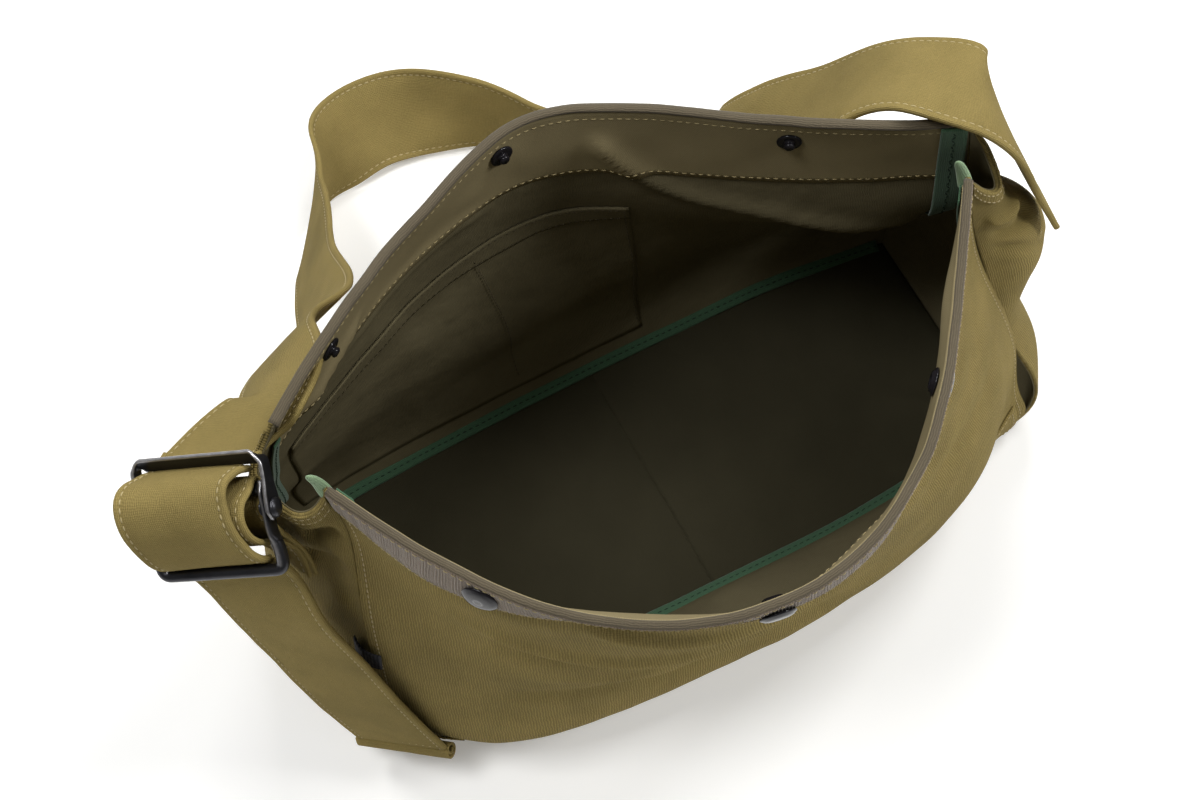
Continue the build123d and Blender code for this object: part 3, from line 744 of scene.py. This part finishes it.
TAIL = [
    ((-171, -71, 32), (35, -32, 10)),
    ((-183, -57, 79), (35, -30, 14)),
    ((-193, -42, 126), (34, -29, 18)),
    ((-200, -31, 160), (34, -28, 20)),
    (at(0.6, -28.5, -12.0), BAR_DIR),
    (at(0, -22.6, -6.1), BAR_DIR),
]
SHOULDER = [
    (at(0, 20.9, -5.7), BAR_DIR),
    (at(1.0, 22.8, -9.6), BAR_DIR),
    ((-165, 29, 218), (28, -22, 27)),
    ((-153, 55, 194), (26, -11, 39)),
    ((-125, 91, 142), (15, -14, 44)),
    ((-113, 131, 92), (18, -7, 44)),
    ((-98, 178, 52), (8, -16, 44)),
    ((-84, 211, 28), (2, -10, 47)),
    ((-66, 232, 24), (21, 38, 30)),
    ((-31, 242, 20), (21, 35, 26)),
    ((0, 228, 24), (6, 21, 42)),
    ((29, 206, 25), (-6, 8, 46)),
    ((42, 188, 28), (-6, 2, 47)),
    ((57, 156, 50), (-4, -8, 47)),
    ((70, 119, 90), (-4, -26, 40)),
    ((80, 89, 133), (-8, -36, 31)),
    ((93, 65, 177), (-11, -39, 26)),
    ((103, 52, 201), (-13, -37, 27)),
    ((119, 41, 225), (-15, -36, 26)),
    ((136, 24, 242), (-16, -40, 18)),
    ((151, 5, 244), (-17, -44, 2)),
    ((161, -3, 224), (-8, -47, 0)),
    ((171, -5, 196), (-6, -47, 2)),
    ((186, -12, 160), (-6, -47, 2)),
]
tail_rows = lay(TAIL, 150)
tail_strap, tail_length = ribbon("tail_strap", tail_rows, strap_canvas, nodes=("strap_tail",), slot="canvas")
shoulder_rows = lay(SHOULDER, 520, loose=60.0)
shoulder_strap, shoulder_length = ribbon(
    "shoulder_strap", shoulder_rows, strap_canvas, seed=4.0, slot="canvas",
    nodes=("strap_rise_left", "strap_back_run", "strap_rise_right", "strap_anchor_right"))
tail_stitches = stitches("tail_stitches", edge_lines(tail_rows), thread)
shoulder_stitches = stitches("shoulder_stitches", edge_lines(shoulder_rows), thread)

# The loop over the buckle. Its left edge stands further out than its right edge.
ARCH_LEFT = [(-22.4, -5.8), (-20.6, -2.6), (-19.4, 2.6), (-16.4, 9.0), (-8.4, 16.6), (1.6, 23.0), (8.6, 24.8),
             (13.6, 23.8), (16.8, 20.0), (18.2, 13.5), (18.7, 5.0), (18.9, -1.6), (20.9, -5.6)]
ARCH_RIGHT = [(-22.4, -5.8), (-20.6, -2.6), (-18.6, 2.0), (-15.6, 6.8), (-10.4, 11.2), (-1.0, 16.6),
              (6.0, 17.8), (12.6, 17.2), (16.8, 13.6), (18.4, 8.6), (18.7, 4.0), (18.9, -1.6), (20.9, -5.6)]


def arch_rows(count=110):
    """The loop's centres and directions, from both of its edges."""
    drift = np.sin(math.pi * np.linspace(0, 1, count)) ** 0.8

    def edge(line, half, lean):
        return np.array([at(half + lean * d, y, n) for d, (y, n) in zip(drift, even(line, count))])

    left_edge, right_edge = edge(ARCH_LEFT, -STRAP_W / 2, -1.8), edge(ARCH_RIGHT, STRAP_W / 2, -4.6)
    middle = (left_edge + right_edge) / 2
    side = right_edge - left_edge
    along = unit(np.gradient(middle, axis=0))
    side = unit(side - along * (side * along).sum(1)[:, None])
    return middle, side, np.cross(side, along)


arch = arch_rows()
arch_strap, arch_length = ribbon("arch_strap", arch, strap_canvas, seed=7.0, crinkle=0.4,
                                 nodes=("strap_arch",), slot="canvas")
arch_stitches = stitches("arch_stitches", edge_lines(arch), thread, radius=0.34)
for piece in (arch_strap, arch_stitches):
    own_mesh(piece)

# The rolled end of the tail.
hem_out = tail_rows[2][0]
hem_side = tail_rows[1][0]
hem_along = unit(tail_rows[0][0] - tail_rows[0][3])
HEM_ROLL = [(3.6, 1.6), (1.6, 2.9), (-0.6, 3.4), (-2.6, 2.4), (-3.6, 0.2), (-3.0, -2.0), (-1.0, -3.2),
            (1.2, -2.9), (2.9, -1.4), (3.2, 0.4), (2.0, 1.4), (0.4, 1.7), (-1.2, 0.9), (-1.6, -0.5), (-0.5, -1.5)]


def rolled_hem():
    """Cloth rolled on itself across the strap's end, open at both ends."""
    spiral = even(HEM_ROLL, 44)
    tangent = unit(np.gradient(spiral, axis=0))
    square = np.stack([-tangent[:, 1], tangent[:, 0]], 1)
    centre = tail_rows[0][0] + hem_along * 2.2 - hem_out * 0.4
    layers = []
    for depth in (-0.55, 0.55):
        grid = np.zeros((30, len(spiral), 3))
        for i, a in enumerate(np.linspace(-STRAP_W / 2 - 0.4, STRAP_W / 2 + 0.4, 30)):
            bulge = 1 + 0.05 * noise.noise(Vector((a / 9, 0.3, 2.0)))
            for j, (x, y) in enumerate(spiral + square * depth):
                grid[i, j] = centre + hem_side * a - hem_along * x * bulge + hem_out * y * bulge
        layers.append(grid)
    return slab("tail_end_roll", layers[0], layers[1], strap_canvas, nodes=("strap_end_hem",), slot="canvas")


tail_end_roll = rolled_hem()
hem_line = [tail_rows[0][4] + hem_side * a + hem_out * 1.15 for a in np.linspace(-21, 21, 40)]
hem_stitches = stitches("hem_stitches", [(hem_line, np.tile(hem_out, (40, 1)))], thread)

# The short strap that is sewn to the left gusset and loops round the buckle's cross bar.
ANCHOR_T = 2.4
ANCHOR_LOOP = 4.3


def anchor_path():
    """Both layers of the anchor strap: up to the cross bar, round it, and back down."""
    low, middle = np.array([-186, -7, 164.0]), np.array([-195.0, -5, 189.0])
    low_side, middle_side = np.array([0.37, -0.91, 0.20]), np.array([0.60, -0.70, 0.36])
    stations = [(low, low_side), ((low + middle) / 2 + (0.8, 0, 0), (low_side + middle_side) / 2),
                (middle, middle_side)]
    for degrees in (205, 250, 295, 340, 25, 62):
        t = math.radians(degrees)
        y, n = CROSS_BAR[0] + ANCHOR_LOOP * math.cos(t), CROSS_BAR[1] + ANCHOR_LOOP * math.sin(t)
        stations.append((at(0, y, n), BAR_DIR))
    stations += [(at(0, y, n), BAR_DIR) for y, n in ((6.5, 11.0), (1.5, 13.6), (-4.0, 12.4), (-8.6, 8.4),
                                                     (-12.0, 1.5), (-14.5, -8.0))]
    stations.append((middle + (1.0, -3.0, -8.0), middle_side))
    stations.append((low + (-1.5, -3.0, 4.0), low_side))
    return stations


anchor_rows = lay(anchor_path(), 130)
anchor_strap, anchor_length = ribbon("anchor_cloth", anchor_rows, strap_canvas, thick=ANCHOR_T, seed=9.0,
                                     nodes=("anchor_strap",), slot="canvas")
anchor_stitches = stitches("anchor_stitches", edge_lines(anchor_rows, thick=ANCHOR_T), thread)


# ---- buckle
def sweep(name, points, sizes, turns, material, sides=16, power=0.8, rubbed_and_highlit=None, **options):
    """A bar along points of the buckle's frame. sizes are its two widths and turns the
    direction of the first. A function of a point and an angle round the bar, if given, sets how far the finish is
    painted lighter there, partly as worn finish and partly as painted highlight."""
    points, sizes, turns = (np.asarray(a, float) for a in (points, sizes, turns))
    along = unit(np.gradient(points, axis=0))
    first = unit(turns - along * (turns * along).sum(1)[:, None])
    second = np.cross(along, first)
    rings = []
    for p, size, a, b in zip(points, sizes, first, second):
        a, b = a * size[0] / 2, b * size[1] / 2
        rings.append([at(*(p + a * squared(c, power) + b * squared(s, power)))
                      for c, s in circle(sides, 0.5)])
    obj = tube(name, rings, material, **options)
    if rubbed_and_highlit:
        # The point attribute that the metal reads as lighter finish. This is partly worn finish and partly painted
        # highlight.
        wear_and_highlight = obj.data.attributes.new("wear_and_highlight", "FLOAT", "POINT")
        amounts = [rubbed_and_highlit(p, 2 * math.pi * (k + 0.5) / sides) for p in points for k in range(sides)]
        wear_and_highlight.data.foreach_set("value", np.clip(amounts, 0, 1))
    return obj


def bent(corners, radius, step=1.0):
    """Points along straight runs between corners, with rounded corners."""
    corners = [np.array(c, float) for c in corners]
    path = [corners[0]]
    for a, b, c in zip(corners[:-2], corners[1:-1], corners[2:]):
        into, away = unit(b - a), unit(c - b)
        start, end = b - into * radius, b + away * radius
        path += [start * (1 - t) ** 2 + b * 2 * t * (1 - t) + end * t ** 2 for t in np.linspace(0, 1, 9)]
    path.append(corners[-1])
    filled = [path[0]]
    for a, b in zip(path[:-1], path[1:]):
        pieces = max(1, int(np.linalg.norm(b - a) / step))
        filled += [a + (b - a) * (i + 1) / pieces for i in range(pieces)]
    return np.array(filled)


ARM_X = 30.0
FRAME_X = 28.5


def lever_bar():
    """Flat bar bent to a U. Its cross piece leans, and its arms widen towards the rivets."""
    path = bent([(-ARM_X, -2.6, 1.6), (-ARM_X, 22.8, 1.0), (ARM_X, 22.8, 1.0), (ARM_X, -2.6, 1.6)], 3.6)
    sizes, turns = [], []
    for x, y, _ in path:
        middle = smooth((ARM_X - 0.5 - abs(x)) / 4)
        reach = smooth((17 - y) / 14) * (1 - middle)
        tip = 1 - 0.45 * smooth((1.5 - y) / 4.5) * (1 - middle)
        sizes.append(((6.6 + 1.8 * middle + 3.4 * reach) * tip, 2.0))
        lean = math.radians(50) * middle
        turns.append((0, math.sin(lean), math.cos(lean)))

    # Painted highlight along one edge of the lever bar, which also stands for worn finish. It is stronger along the
    # cross piece and the arms than at the arm tips by the rivets.
    def rubbed_and_highlit(point, angle):
        worn_and_highlit_edge = smooth((math.cos(angle) - 0.62) / 0.2)
        return worn_and_highlit_edge * (0.9 if abs(point[0]) < 29 or point[1] > 16 else 0.55)

    return sweep("lever_bar", path, sizes, turns, buckle_metal, sides=24, power=0.55, rubbed_and_highlit=rubbed_and_highlit,
                 body="lever", nodes=("buckle_lever",), slot="buckle_metal")


def frame_bar():
    """Round bar bent to a U, with flattened ears."""
    path = bent([(-27.1, 13, 1.0), (-27.1, -9, 1.0), (-FRAME_X, -14, 0.4), (-FRAME_X, -BAR_Y, 0),
                 (FRAME_X, -BAR_Y, 0), (FRAME_X, -14, 0.4), (27.1, -9, 1.0), (27.1, 13, 1.0)], 4.2)
    sizes, turns = [], []
    for _, y, _ in path:
        ear = smooth((y + 13) / 5)
        tip = 1 - 0.5 * smooth((y - 8) / 5)
        sizes.append(((5.2 + 2.2 * ear) * tip, 5.0 - 2.0 * ear))
        turns.append((0, 0, 1))

    # Painted highlights: a bright lower edge along the bottom bar, and a lighter strip down one side of the right
    # arm.
    def rubbed_and_highlit(point, angle):
        lower = smooth((math.cos(angle + 2.2) - 0.86) / 0.1) * (point[1] < -20)
        return 0.75 * lower + 0.5 * smooth((math.cos(angle) - 0.9) / 0.08) * (point[1] > -22) * (point[0] > 0)

    return sweep("frame_bar", path, sizes, turns, buckle_metal, sides=24, power=0.9, rubbed_and_highlit=rubbed_and_highlit,
                 nodes=("buckle_frame",), slot="buckle_metal")


lever_bar()
frame_bar()
cross = [(x, *CROSS_BAR) for x in np.linspace(-26.5, 26.5, 40)]
cross_sizes = [(5.0 + 2.2 * smooth((abs(x) - 24.3) / 1.0),) * 2 for x in np.linspace(-26.5, 26.5, 40)]
sweep("cross_bar", cross, cross_sizes, [(0, 0, 1)] * 40, buckle_metal, power=1.0, nodes=("buckle_frame",),
      slot="buckle_metal")
RIVET = [(0.0, -5.6), (1.9, -5.6), (3.1, -5.3), (3.1, -5.0), (1.95, -4.9), (1.95, 0.2), (3.9, 0.25),
         (4.0, 0.7), (3.6, 1.5), (2.6, 2.1), (1.3, 2.45), (0.0, 2.5)]
turned("rivet_heads", [(at(s * 31.0, *PIVOT), BAR_DIR * s, RIVET) for s in (-1, 1)], buckle_metal,
       nodes=("buckle_rivets",), slot="buckle_metal")

# ---- snap fasteners
CAP = [(0.0, 2.45), (2.6, 2.4), (4.6, 2.2), (6.0, 1.8), (6.9, 1.2), (7.5, 0.9), (7.6, 0.5), (7.4, 0.1),
       (0.0, 0.05)]
SOCKET = [(0.0, 1.0), (2.5, 1.0), (2.7, 2.4), (3.4, 2.6), (4.2, 2.3), (4.6, 1.5), (5.6, 1.2), (6.0, 0.8),
          (6.0, 0.3), (0.0, 0.2)]
STUD = [(0.0, 4.2), (1.5, 4.1), (2.2, 3.6), (2.4, 3.0), (2.0, 2.2), (2.1, 1.6), (3.2, 1.3), (4.4, 1.5),
        (5.2, 1.2), (5.4, 0.7), (5.3, 0.3), (0.0, 0.2)]
EYELET = [(0.0, 0.6), (1.7, 0.6), (1.9, 1.3), (2.9, 1.5), (4.2, 1.2), (4.7, 0.6), (4.6, 0.1), (0.0, 0.05)]
FRONT_SNAPS = ((0.179, 230.5), (0.468, 227.0), (0.775, 227.0))
REAR_SNAPS = ((0.21, 226.0), (0.560, 227.5), (0.875, 226.0))


def snap_row(name, wall, places, depth, sign, profile, node):
    """Snap halves on one side of a wall."""
    found = [wall.spot(u, z, depth) for u, z in places]
    turned(name, [(p, n * sign, profile) for p, n in found], snap_metal, sides=48,
           nodes=(node,), slot="snap_metal")


snap_row("cap_domes", front, FRONT_SNAPS, -1.0, 1, CAP, "snap_caps")
snap_row("socket_cups", front, FRONT_SNAPS, INNER + FACING, -1, SOCKET, "snap_sockets")
snap_row("stud_posts", rear, REAR_SNAPS, INNER + FACING, -1, STUD, "snap_studs")
snap_row("eyelet_rings", rear, REAR_SNAPS, 0, 1, EYELET, "snap_eyelets")


# ---- tapes, tabs and pocket
def finger(name, base, tip, width, node):
    """The folded end of a tape, standing up like a small finger with a rounded tip."""
    base, tip = np.array(base, float), np.array(tip, float)
    count = 26
    share = np.linspace(0, 1, count)
    bow = unit(np.cross(tip - base, (0, 0, 1.0)))
    points = base + (tip - base) * share[:, None] + np.outer(np.sin(math.pi * share) * 1.2, bow)
    along = unit(np.gradient(points, axis=0))
    side = unit(np.cross(along, (0.35, 0.9, 0.1)))
    out = np.cross(side, along)
    rings = []
    for f, p, s, o in zip(share, points, side, out):
        round_off = math.sqrt(max(0.02, 1 - max(0.0, (f - 0.72) / 0.28) ** 2)) * (0.8 + 0.2 * math.cos(3 * f))
        rings.append([p + (s * width / 2 * c + o * 1.9 * n) * round_off for c, n in circle(18)])
    return tube(name, rings, pale_green, uvs=ring_uvs(rings), nodes=(node,), slot="pale_green_tape")


left_corner, right_corner = front.spot(0.0, RIM_Z)[0], front.spot(1.0, RIM_Z)[0]
finger("left_finger", left_corner + (1.5, 1.5, -8), left_corner + (-3.5, 4.5, 9), 6.4, "left_end_tab")
finger("right_finger", right_corner + (-0.5, 1.0, -8), right_corner + (-5, 5, 9), 6.4, "right_end_tab")


def corner_tape(name, wall, u0, u1, z0, z1, node):
    """A tape down an inner corner, with a zigzag of stitches."""
    strip(wall, name, u0, u1, z0, z1, INNER + FACING + 0.5, INNER + FACING + 1.3, green_tape, rows=40,
          nodes=(node,), slot="green_tape")
    places = []
    for i, z in enumerate(np.arange(z0 + 2, z1 - 2, 3.2)):
        places.append(wall.spot(u0 + (u1 - u0) * (0.42 if i % 2 else 0.58), z, INNER + FACING + 1.35))
    points, normals = np.array([p for p, _ in places]), np.array([-n for _, n in places])
    stitches(name + "_stitches", [(points, normals)], tape_thread, length=2.6, gap=0.6, radius=0.26)


corner_tape("rear_right_tape", rear, 0.004, 0.036, 138, RIM_Z - 1, "rear_right_corner_binding")
corner_tape("rear_left_tape", rear, 0.984, 0.997, 70, RIM_Z - 24, "rear_left_corner_binding")
corner_tape("front_left_tape", front, 0.006, 0.026, 70, RIM_Z - 3, "front_left_corner_binding")
corner_tape("front_right_tape", front, 0.974, 0.994, 70, RIM_Z - 3, "front_right_corner_binding")

POCKET = (0.405, 0.955, 12.0, 158.0)
POCKET_DEPTH = INNER + 0.85
strip(rear, "slip_pocket_cloth", *POCKET, POCKET_DEPTH - 0.6, POCKET_DEPTH, lining_cloth, rows=60,
      nodes=("slip_pocket",), slot="lining")
strip(rear, "pocket_hem", POCKET[0], POCKET[1], POCKET[3] - 14, POCKET[3] + 0.8, POCKET_DEPTH + 0.1,
      POCKET_DEPTH + 0.7, lining_cloth, rows=8, nodes=("slip_pocket",), slot="lining")


def sewn(name, wall, lines, depth, material, inside=True, count=120, **options):
    """Stitch lines on a wall through (share, height) places."""
    rows = []
    for places in lines:
        points, normals = wall.line(places, depth, count)
        rows.append((points, -normals if inside else normals))
    return stitches(name, rows, material, **options)


pocket_middle = [(u, POCKET[3]) for u in np.linspace(POCKET[0] + 0.01, POCKET[1] - 0.01, 7)]
sewn("pocket_stitches", rear, [[(u, z - 1.8) for u, z in pocket_middle],
                               [(u, z - 12.5) for u, z in pocket_middle],
                               [(0.62, 150), (0.61, 110), (0.60, 60), (0.60, 20)],
                               [(POCKET[0] + 0.006, 156), (POCKET[0] + 0.006, 80), (POCKET[0] + 0.006, 16)]],
     POCKET_DEPTH + 0.75, dark_thread, length=2.0, gap=1.2, radius=0.24)
rim_run = np.linspace(0.012, 0.988, 9)
rear_lines = [[(u, z) for u in rim_run] for z in (RIM_Z - 5.5, FACING_Z + 2.2)]
sewn("rear_facing_stitches", rear, rear_lines, INNER + FACING + 0.05, thread, length=2.3, gap=1.3,
     radius=0.27)
sewn("front_facing_stitches", front, [[(u, FACING_Z + 2.2) for u in rim_run]], INNER + FACING + 0.05, thread,
     length=2.3, gap=1.3, radius=0.27)
sewn("front_rim_stitches", front, [[(u, z) for u in rim_run] for z in (RIM_Z - 1.6, RIM_Z - TAPE_W + 1.5)],
     -1.15, thread, inside=False, length=2.2, gap=1.2, radius=0.26)
sewn("rear_outer_stitches", rear, rear_lines, -0.05, thread, inside=False, length=2.3, gap=1.3, radius=0.27)


def gusset_edge(name, wall):
    """The folded hem along a gusset's dipping top edge, with its stitches."""
    us = np.linspace(0.02, 0.98, 60)
    heights = gusset_hem(us)
    layers = [np.zeros((6, 60, 3)), np.zeros((6, 60, 3))]
    for j, (u, top) in enumerate(zip(us, heights)):
        for i, z in enumerate(np.linspace(top - HEM_W, top + 0.4, 6)):
            p, n = wall.spot(u, min(z, top - 0.05))
            p = p + np.array([0, 0, max(0.0, z - top)])
            layers[0][i, j] = p + n * 1.0
            layers[1][i, j] = p + n * 0.1
    slab(name, layers[0], layers[1], canvas, slot="canvas")
    rows = []
    for drop in (2.0, HEM_W - 1.6):
        found = [wall.spot(u, z - drop, -1.05) for u, z in zip(us, heights)]
        rows.append((np.array([p for p, _ in found]), np.array([n for _, n in found])))
    stitches(name + "_stitches", rows, thread, length=2.4, gap=1.3, radius=0.28)


gusset_edge("left_hem", left)
gusset_edge("right_hem", right)

# A line of stitches beside each corner seam of the shell.
for name, wall, u in (("front_left_seam", front, 0.012), ("front_right_seam", front, 0.988),
                      ("rear_left_seam", rear, 0.988), ("rear_right_seam", rear, 0.012)):
    sewn(name, wall, [[(u, z) for z in (10, 60, 110, 160, 205, 236)]], -0.05, thread, inside=False,
         length=2.4, gap=1.3, radius=0.28)

# ---- webbing loop and corner patches
def side_loop():
    """A flat loop of ribbed webbing caught in the left corner seam."""
    base, n = left.spot(0.93, 108)
    up = np.array([0.05, 0.0, 1.0])
    side = unit(np.cross(up, n))
    grids = [np.zeros((22, 16, 3)), np.zeros((22, 16, 3))]
    for i, a in enumerate(np.linspace(-8.5, 8.5, 22)):
        for j, b in enumerate(np.linspace(0, 1, 16)):
            rib = 0.25 * math.sin(2 * math.pi * a / 2.1)
            bow = 2.4 * math.sin(math.pi * b)
            p = base - side * (2 - 15 * b) + up * a + n * (0.8 + bow)
            grids[0][i, j] = p + n * (1.1 + rib)
            grids[1][i, j] = p
    slab("webbing_band", grids[0], grids[1], webbing, nodes=("side_webbing_loop",), slot="webbing")


side_loop()


def patch(name, u0, u1, node):
    """A canvas patch sewn over a bottom corner."""
    strip(front, name, u0, u1, 3, 34, -1.3, -0.2, canvas, rows=14, nodes=(node,), slot="canvas")
    lines = [[(u0 + 0.008, z) for z in (5, 15, 25, 32)],
             [(u, 32.2) for u in np.linspace(u0 + 0.008, u1 - 0.008, 5)],
             [(u1 - 0.008, z) for z in (5, 15, 25, 32)]]
    sewn(name + "_stitches", front, lines, -1.35, thread, inside=False, count=30, length=2.3,
         gap=1.2, radius=0.27)


patch("left_patch", 0.022, 0.098, "corner_patch_left")
patch("right_patch", 0.902, 0.978, "corner_patch_right")


# ---- stage
def aimed(obj, place, aim):
    """Puts a camera or light at a place, looking at a point."""
    obj.location = place
    obj.rotation_mode = "QUATERNION"
    obj.rotation_quaternion = (Vector(aim) - Vector(place)).to_track_quat("-Z", "Y")
    bpy.context.scene.collection.objects.link(obj)


def camera():
    azimuth, elevation = math.radians(-28.12), math.radians(66.09)
    back = Vector((math.sin(azimuth) * math.cos(elevation), -math.cos(azimuth) * math.cos(elevation),
                   math.sin(elevation)))
    target = Vector((-0.01493, 0.02791, 0.060))
    data = bpy.data.cameras.new("camera")
    data.lens, data.sensor_width, data.clip_end = 65.0, 36.0, 20.0
    obj = bpy.data.objects.new("camera", data)
    aimed(obj, target + back * 1.0414, target)
    bpy.context.scene.camera = obj


def area_light(name, place, size, watts, aim=(0, 0, 0.1)):
    data = bpy.data.lights.new(name, "AREA")
    data.shape, data.size, data.energy = "SQUARE", size, watts
    aimed(bpy.data.objects.new(name, data), place, aim)


def studio():
    """A pale floor, four soft boxes above, one stronger light from the front right and a faint surround."""
    mesh = bpy.data.meshes.new("floor")
    reach, low = 6.0, -0.0002
    corners = [(x * reach, y * reach, low) for x, y in ((-1, -1), (1, -1), (1, 1), (-1, 1))]
    mesh.from_pydata(corners, [], [(0, 1, 2, 3)])
    floor = bpy.data.objects.new("floor", mesh)
    bpy.context.scene.collection.objects.link(floor)
    g = Graph("pale_floor")
    g.settings(Base_Color=(0.93, 0.93, 0.92, 1), Roughness=0.95, Specular_IOR_Level=0.0,
               Emission_Color=(1, 1, 1, 1), Emission_Strength=0.20)
    mesh.materials.append(g.material)
    for i, (x, y) in enumerate(((-0.75, 0.1), (0.75, 0.1), (-0.75, 1.3), (0.75, 1.3))):
        area_light(f"soft_box_{i}", (x, y, 1.9), 0.55, 14.0)
    area_light("key", (1.6, -0.8, 1.6), 0.5, 24.0, aim=(-0.05, 0.0, 0.12))
    world = bpy.data.worlds.new("studio")
    world.use_nodes = True
    background = world.node_tree.nodes["Background"].inputs
    background["Color"].default_value = (1, 1, 1, 1)
    background["Strength"].default_value = 0.14
    bpy.context.scene.world = world
    bpy.context.scene.view_settings.view_transform = "Standard"


camera()
studio()
